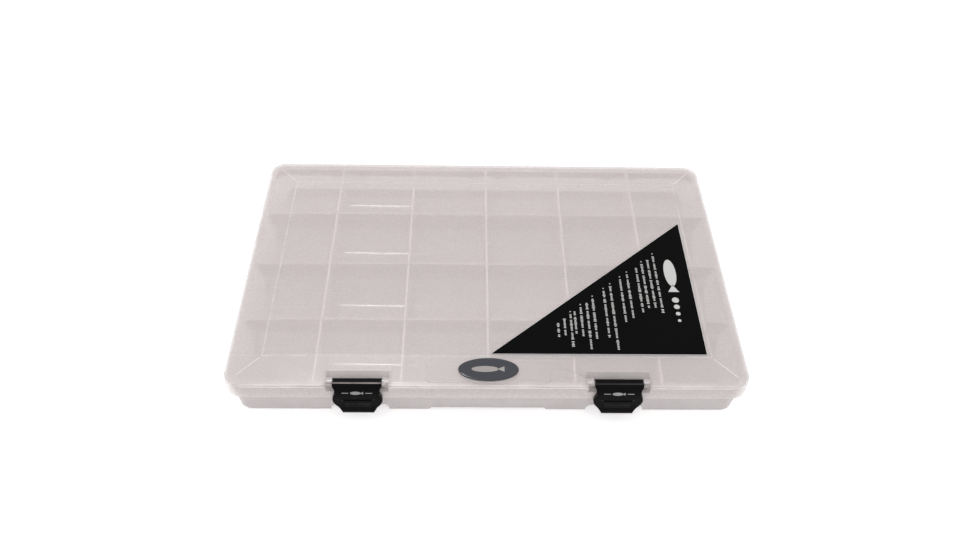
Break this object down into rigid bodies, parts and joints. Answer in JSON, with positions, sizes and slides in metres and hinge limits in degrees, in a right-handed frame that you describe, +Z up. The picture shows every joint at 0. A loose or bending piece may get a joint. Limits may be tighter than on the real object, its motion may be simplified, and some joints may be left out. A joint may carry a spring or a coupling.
{
  "type": "fishing tackle box",
  "caption": "Flat clear plastic tackle box with a hinged lid, two black front latches, round-bottomed rows and removable dividers.",
  "frame": {"origin": "Centre of the footprint, on the plane the tray stands on.", "axes": "+X to the right along the long side, +Y to the hinges at the rear, +Z up; the latches face -Y."},
  "size_m": [0.356, 0.2407, 0.0345],
  "materials": {
    "clear_plastic": "frosted clear polypropylene, faint warm grey, satin",
    "divider_plastic": "frosted clear polypropylene sheet",
    "black_plastic": "black plastic with a fine grain, satin",
    "pin_steel": "plain drawn steel wire",
    "label_film": "black printed film with plain pale marks",
    "badge_resin": "dark grey domed resin with a plain pale mark"
  },
  "bodies": {
    "tray": {"base_tray": "clear_plastic", "divider_row1_1": "divider_plastic", "divider_row1_2": "divider_plastic", "divider_row1_3": "divider_plastic", "divider_row1_4": "divider_plastic", "divider_row1_5": "divider_plastic", "divider_row2_1": "divider_plastic", "divider_row2_2": "divider_plastic", "divider_row2_3": "divider_plastic", "divider_row2_4": "divider_plastic", "divider_row2_5": "divider_plastic", "divider_row3_1": "divider_plastic", "divider_row3_2": "divider_plastic", "divider_row3_3": "divider_plastic", "divider_row3_4": "divider_plastic", "divider_row3_5": "divider_plastic", "divider_row4_1": "divider_plastic", "divider_row4_2": "divider_plastic", "divider_row4_3": "divider_plastic", "divider_row4_4": "divider_plastic", "divider_row4_5": "divider_plastic", "hinge_pin_left": "pin_steel", "hinge_pin_middle": "pin_steel", "hinge_pin_right": "pin_steel"},
    "lid": {"lid": "clear_plastic", "corner_label": "label_film", "oval_badge": "badge_resin", "latch_pin_left": "pin_steel", "latch_pin_right": "pin_steel"},
    "latch_left": {"latch_left": "black_plastic"},
    "latch_right": {"latch_right": "black_plastic"}
  },
  "joints": [
    {"name": "lid_hinge", "type": "hinge", "parent": "tray", "child": "lid", "pos_m": [0, 0.1183, 0.02], "axis": [-1, 0, 0], "range_deg": [0, 180]},
    {"name": "latch_left_hinge", "type": "hinge", "parent": "lid", "child": "latch_left", "pos_m": [-0.088, -0.1096, 0.031], "axis": [-1, 0, 0], "range_deg": [0, 95]},
    {"name": "latch_right_hinge", "type": "hinge", "parent": "lid", "child": "latch_right", "pos_m": [0.088, -0.1096, 0.031], "axis": [-1, 0, 0], "range_deg": [0, 95]}
  ]
}
